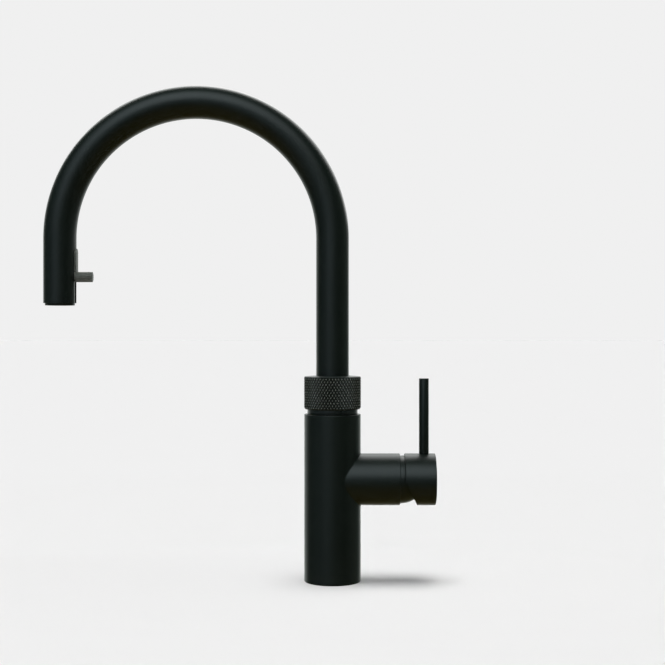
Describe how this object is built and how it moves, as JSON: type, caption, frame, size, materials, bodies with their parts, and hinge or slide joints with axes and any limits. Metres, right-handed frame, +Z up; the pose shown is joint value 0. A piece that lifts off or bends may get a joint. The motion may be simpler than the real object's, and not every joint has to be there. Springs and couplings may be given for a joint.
{
  "type": "boiling water tap",
  "caption": "Swan-neck tap in satin black with a knurled push-and-turn knob, a pull-out nozzle and a side lever that mixes hot and cold water.",
  "frame": {"origin": "centre of the column's base face, which stands on the worktop", "axes": "+Z up the column, +X along the mixer branch towards its lever, and the spout rests over -X"},
  "size_m": [0.321, 0.0466, 0.4055],
  "materials": {
    "satin_black": "satin black coating on brass",
    "gunmetal": "dark gunmetal, satin",
    "steel": "stainless steel",
    "magnet": "plated magnet",
    "brass": "machined brass",
    "rubber": "black rubber",
    "smoked_ring": "smoked light guide, unlit",
    "board": "circuit board",
    "white_plastic": "white bearing plastic",
    "grey_plastic": "grey moulded plastic",
    "ceramic_disc": "ground ceramic"
  },
  "bodies": {
    "column": {"tap_body": "satin_black", "base_gasket": "rubber", "neck_sleeve": "brass", "sleeve_o_rings": "rubber", "light_ring": "smoked_ring", "led_strip": "board", "spring_seat": "grey_plastic", "seat_screws": "steel", "sensor_board": "board", "upper_swivel_bush": "white_plastic", "lower_swivel_bush": "white_plastic", "swivel_stop_pin": "steel", "cartridge_housing": "white_plastic", "port_seals": "rubber", "fixed_disc": "ceramic_disc", "cartridge_cap": "white_plastic", "cartridge_nut": "brass", "dome_cover": "satin_black"},
    "mixer": {"cartridge_carrier": "grey_plastic", "pivot_pin": "steel"},
    "mixer_disc": {"moving_disc": "ceramic_disc", "disc_driver": "grey_plastic"},
    "lever": {"lever_stem": "steel", "lever_hub": "satin_black", "lever_rod": "satin_black", "lever_grub_screw": "steel"},
    "knob_carrier": {"push_carrier": "grey_plastic", "guide_pins": "steel", "return_springs": "steel"},
    "knob": {"knob_core": "satin_black", "knurled_ring": "gunmetal", "knob_retainer": "steel", "knob_magnets": "magnet"},
    "spout": {"spout_tube": "satin_black", "spout_collar": "brass", "thrust_washer": "white_plastic", "spout_circlip": "steel", "boiling_tube": "steel", "lower_hose_guide": "white_plastic", "outlet_guide": "white_plastic", "dock_magnet": "magnet", "pullout_hose": "grey_plastic", "hose_ferrule": "steel"},
    "nozzle": {"nozzle_sleeve": "satin_black", "key_strip": "gunmetal", "pull_pin": "gunmetal", "pull_pin_screw": "steel", "hose_fitting": "brass", "dock_plate": "steel", "aerator_housing": "grey_plastic", "aerator_seal": "rubber", "flow_regulator": "grey_plastic", "flow_straightener": "white_plastic", "aerator_screens": "steel", "spray_plate": "gunmetal"}
  },
  "joints": [
    {"name": "spout_swivel", "type": "hinge", "parent": "column", "child": "spout", "pos_m": [0, 0, 0.14], "axis": [0, 0, 1], "range_deg": [-45, 225]},
    {"name": "nozzle_pull", "type": "slide", "parent": "spout", "child": "nozzle", "axis": [0, 0, -1], "range_m": [0, 0.2], "deforming": ["pullout_hose"]},
    {"name": "knob_push", "type": "slide", "parent": "column", "child": "knob_carrier", "axis": [0, 0, -1], "range_m": [0, 0.003], "stiffness_N_per_m": 1500, "springref_m": -0.002, "deforming": ["return_springs"]},
    {"name": "knob_turn", "type": "hinge", "parent": "knob_carrier", "child": "knob", "pos_m": [0, 0, 0.15], "axis": [0, 0, 1], "range_deg": [0, 90]},
    {"name": "mixer_turn", "type": "hinge", "parent": "column", "child": "mixer", "pos_m": [0.0564, 0, 0.0832], "axis": [1, 0, 0], "range_deg": [-45, 45]},
    {"name": "mixer_tilt", "type": "hinge", "parent": "mixer", "child": "lever", "pos_m": [0.0564, 0, 0.0832], "axis": [0, 1, 0], "range_deg": [0, 25]},
    {"name": "disc_slide", "type": "slide", "parent": "mixer", "child": "mixer_disc", "axis": [0, 0, 1], "range_m": [0, 0.004]}
  ],
  "couplings": [
    {"joint": "disc_slide", "follows": "mixer_tilt", "m_per_rad": 0.0091}
  ]
}
